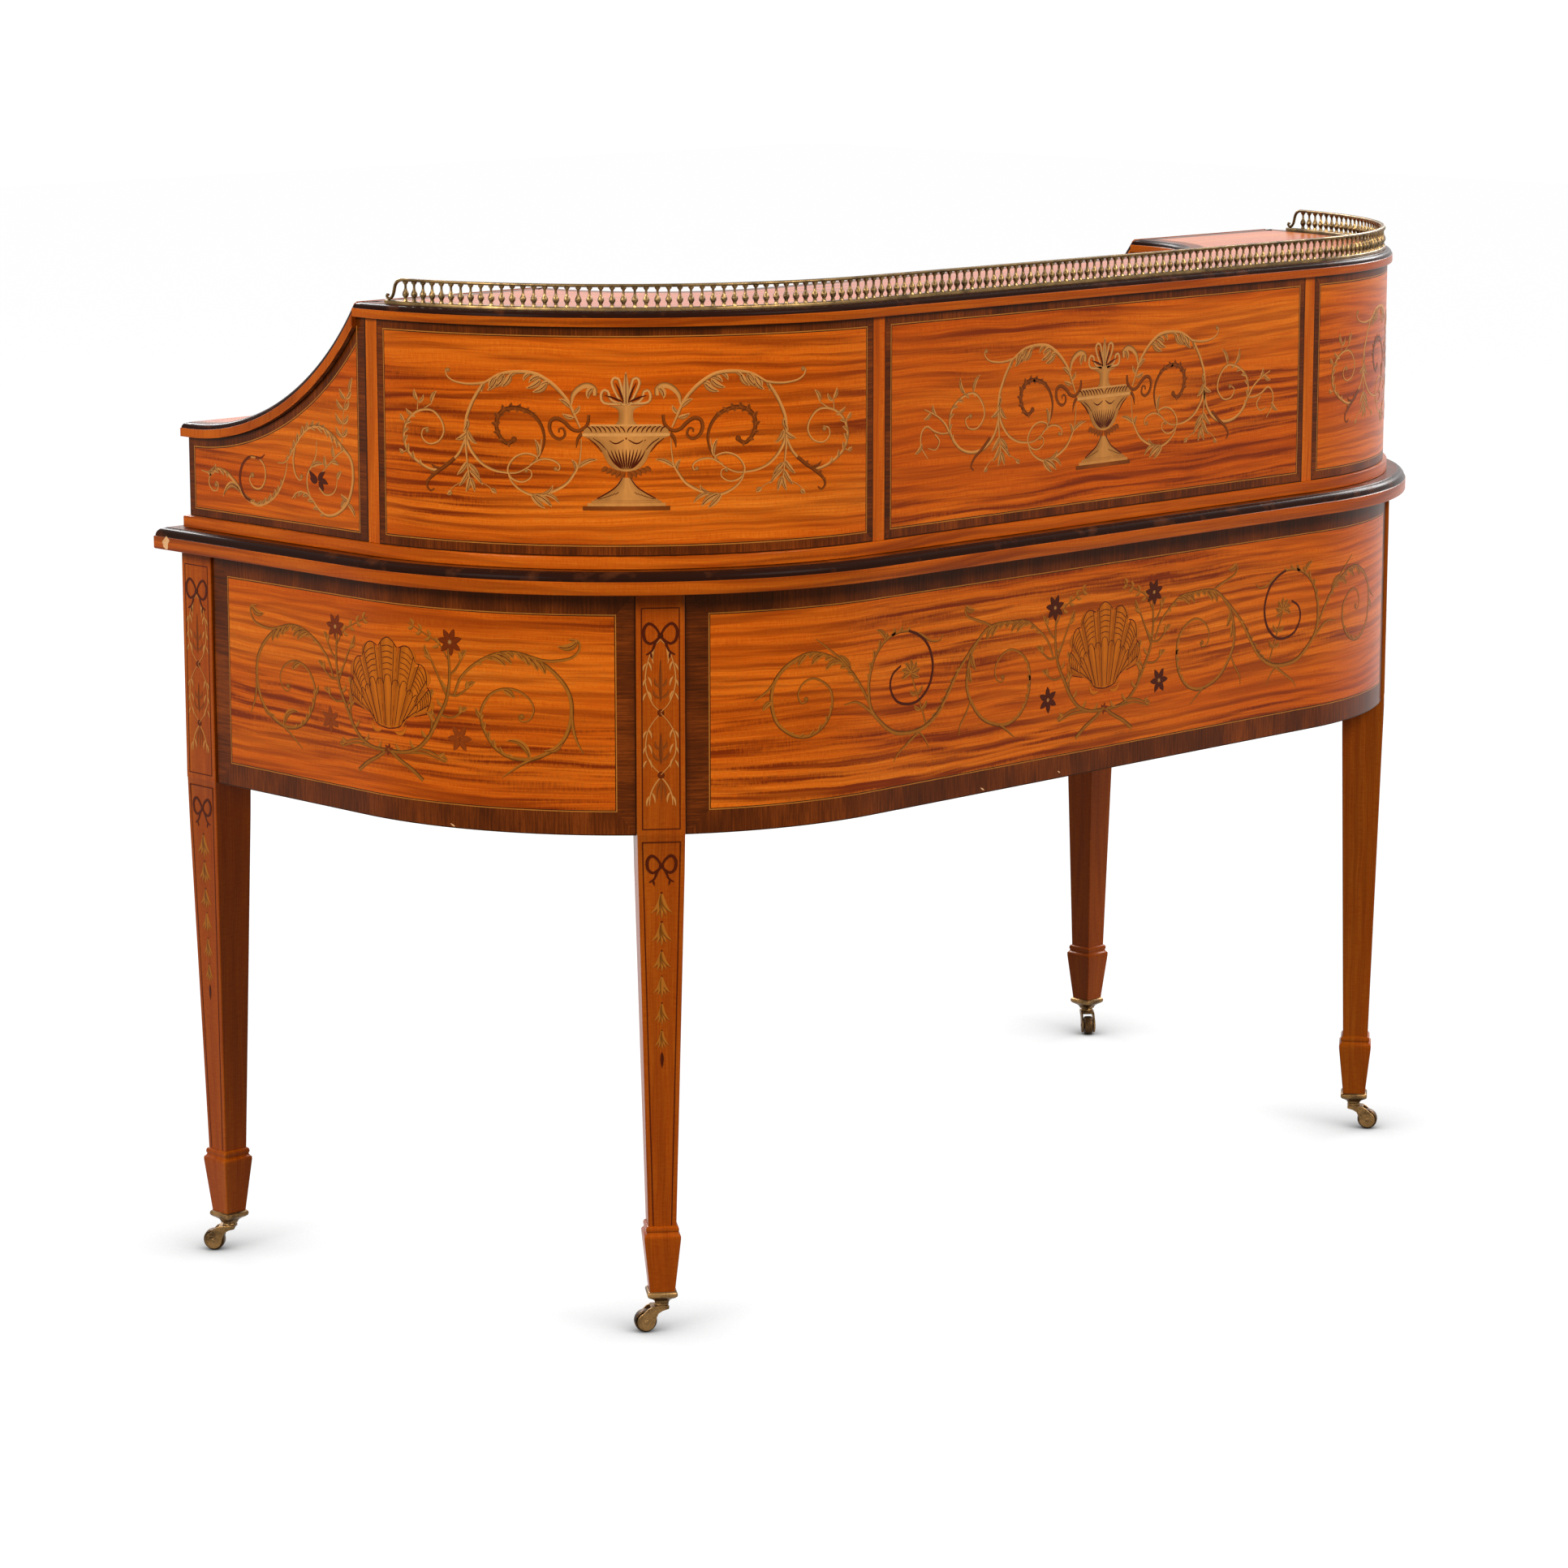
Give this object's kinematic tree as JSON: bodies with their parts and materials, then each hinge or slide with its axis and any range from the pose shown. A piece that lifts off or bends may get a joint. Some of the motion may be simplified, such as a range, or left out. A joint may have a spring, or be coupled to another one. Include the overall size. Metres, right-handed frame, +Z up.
{
  "type": "carlton house desk",
  "caption": "D-shaped marquetry writing desk with a raised galleried back, swept wings, frieze drawers and square tapered legs on brass casters.",
  "frame": {"origin": "middle of the footprint on the floor", "axes": "+X along the width, +Y towards the curved back, +Z up"},
  "size_m": [1.34, 0.635, 0.9665],
  "materials": {
    "satinwood": "french polished",
    "drawer_wood": "satin",
    "brass": "aged satin",
    "leather": "tooled"
  },
  "bodies": {
    "desk": {"back_frieze": "satinwood", "caster_cup_back_left": "brass", "caster_cup_back_right": "brass", "caster_cup_front_left": "brass", "caster_cup_front_right": "brass", "gallery": "brass", "kneehole_board": "satinwood", "left_bay_frame": "satinwood", "left_corner_panel": "satinwood", "left_frieze": "satinwood", "left_wing_case": "satinwood", "left_wing_plinth": "satinwood", "left_wing_side": "satinwood", "leg_back_left": "satinwood", "leg_back_right": "satinwood", "leg_front_left": "satinwood", "leg_front_right": "satinwood", "pigeonhole_frame": "satinwood", "right_bay_frame": "satinwood", "right_corner_panel": "satinwood", "right_frieze": "satinwood", "right_wing_case": "satinwood", "right_wing_plinth": "satinwood", "right_wing_side": "satinwood", "table_top": "satinwood", "upper_back_panel": "satinwood", "upper_plinth": "satinwood", "upper_top": "satinwood", "writing_leather": "leather"},
    "caster_front_right": {"caster_horn_front_right": "brass"},
    "wheel_front_right": {"caster_wheel_front_right": "brass"},
    "caster_back_right": {"caster_horn_back_right": "brass"},
    "wheel_back_right": {"caster_wheel_back_right": "brass"},
    "caster_back_left": {"caster_horn_back_left": "brass"},
    "wheel_back_left": {"caster_wheel_back_left": "brass"},
    "caster_front_left": {"caster_horn_front_left": "brass"},
    "wheel_front_left": {"caster_wheel_front_left": "brass"},
    "centre_drawer": {"centre_drawer": "drawer_wood", "handle_plate_centre_left": "brass", "handle_plate_centre_right": "brass"},
    "bail_centre_left": {"handle_bail_centre_left": "brass"},
    "bail_centre_right": {"handle_bail_centre_right": "brass"},
    "right_drawer": {"right_drawer": "drawer_wood", "handle_plate_right": "brass"},
    "bail_right": {"handle_bail_right": "brass"},
    "left_drawer": {"left_drawer": "drawer_wood", "handle_plate_left": "brass"},
    "bail_left": {"handle_bail_left": "brass"},
    "small_drawer_1": {"small_drawer_1": "drawer_wood", "small_knob_1": "brass"},
    "small_drawer_2": {"small_drawer_2": "drawer_wood", "small_knob_2": "brass"},
    "small_drawer_3": {"small_drawer_3": "drawer_wood", "small_knob_3": "brass"},
    "right_door": {"right_cupboard_door": "satinwood", "right_door_knob": "brass"},
    "right_lid": {"right_wing_lid": "satinwood"},
    "left_door": {"left_cupboard_door": "satinwood", "left_door_knob": "brass"},
    "left_lid": {"left_wing_lid": "satinwood"}
  },
  "joints": [
    {"name": "swivel_front_right", "type": "hinge", "parent": "desk", "child": "caster_front_right", "pos_m": [0.6315, -0.2745, 0.03], "axis": [0, 0, 1], "continuous": true},
    {"name": "roll_front_right", "type": "hinge", "parent": "caster_front_right", "child": "wheel_front_right", "pos_m": [0.64114, -0.28599, 0.0105], "axis": [0.766, 0.6428, 0], "continuous": true},
    {"name": "swivel_back_right", "type": "hinge", "parent": "desk", "child": "caster_back_right", "pos_m": [0.5117, 0.21405, 0.03], "axis": [0, 0, 1], "continuous": true},
    {"name": "roll_back_right", "type": "hinge", "parent": "caster_back_right", "child": "wheel_back_right", "pos_m": [0.52398, 0.20545, 0.0105], "axis": [0.5736, 0.8192, 0], "continuous": true},
    {"name": "swivel_back_left", "type": "hinge", "parent": "desk", "child": "caster_back_left", "pos_m": [-0.5117, 0.21405, 0.03], "axis": [0, 0, 1], "continuous": true},
    {"name": "roll_back_left", "type": "hinge", "parent": "caster_back_left", "child": "wheel_back_left", "pos_m": [-0.5203, 0.22634, 0.0105], "axis": [-0.8192, -0.5736, 0], "continuous": true},
    {"name": "swivel_front_left", "type": "hinge", "parent": "desk", "child": "caster_front_left", "pos_m": [-0.6315, -0.2745, 0.03], "axis": [0, 0, 1], "continuous": true},
    {"name": "roll_front_left", "type": "hinge", "parent": "caster_front_left", "child": "wheel_front_left", "pos_m": [-0.62146, -0.26335, 0.0105], "axis": [-0.7431, 0.6691, 0], "continuous": true},
    {"name": "centre_drawer_slide", "type": "slide", "parent": "desk", "child": "centre_drawer", "axis": [0, -1, 0], "range_m": [0, 0.3]},
    {"name": "bail_centre_left_swing", "type": "hinge", "parent": "centre_drawer", "child": "bail_centre_left", "pos_m": [-0.2, -0.3025, 0.64923], "axis": [-1, 0, 0], "range_deg": [0, 80]},
    {"name": "bail_centre_right_swing", "type": "hinge", "parent": "centre_drawer", "child": "bail_centre_right", "pos_m": [0.2, -0.3025, 0.64923], "axis": [-1, 0, 0], "range_deg": [0, 80]},
    {"name": "right_drawer_slide", "type": "slide", "parent": "desk", "child": "right_drawer", "axis": [0, -1, 0], "range_m": [0, 0.24]},
    {"name": "bail_right_swing", "type": "hinge", "parent": "right_drawer", "child": "bail_right", "pos_m": [0.48025, -0.3025, 0.59473], "axis": [-1, 0, 0], "range_deg": [0, 80]},
    {"name": "left_drawer_slide", "type": "slide", "parent": "desk", "child": "left_drawer", "axis": [0, -1, 0], "range_m": [0, 0.24]},
    {"name": "bail_left_swing", "type": "hinge", "parent": "left_drawer", "child": "bail_left", "pos_m": [-0.48025, -0.3025, 0.59473], "axis": [-1, 0, 0], "range_deg": [0, 80]},
    {"name": "small_drawer_1_slide", "type": "slide", "parent": "desk", "child": "small_drawer_1", "axis": [0, -1, 0], "range_m": [0, 0.1]},
    {"name": "small_drawer_2_slide", "type": "slide", "parent": "desk", "child": "small_drawer_2", "axis": [0, -1, 0], "range_m": [0, 0.1]},
    {"name": "small_drawer_3_slide", "type": "slide", "parent": "desk", "child": "small_drawer_3", "axis": [0, -1, 0], "range_m": [0, 0.1]},
    {"name": "right_door_hinge", "type": "hinge", "parent": "desk", "child": "right_door", "pos_m": [0.425, -0.0287, 0.8265], "axis": [0, 0, 1], "range_deg": [0, 85]},
    {"name": "right_lid_hinge", "type": "hinge", "parent": "desk", "child": "right_lid", "pos_m": [0.5355, -0.04, 0.9425], "axis": [-1, 0, 0], "range_deg": [0, 75]},
    {"name": "left_door_hinge", "type": "hinge", "parent": "desk", "child": "left_door", "pos_m": [-0.425, -0.0287, 0.8265], "axis": [0, 0, -1], "range_deg": [0, 85]},
    {"name": "left_lid_hinge", "type": "hinge", "parent": "desk", "child": "left_lid", "pos_m": [-0.5355, -0.04, 0.9425], "axis": [-1, 0, 0], "range_deg": [0, 75]}
  ]
}
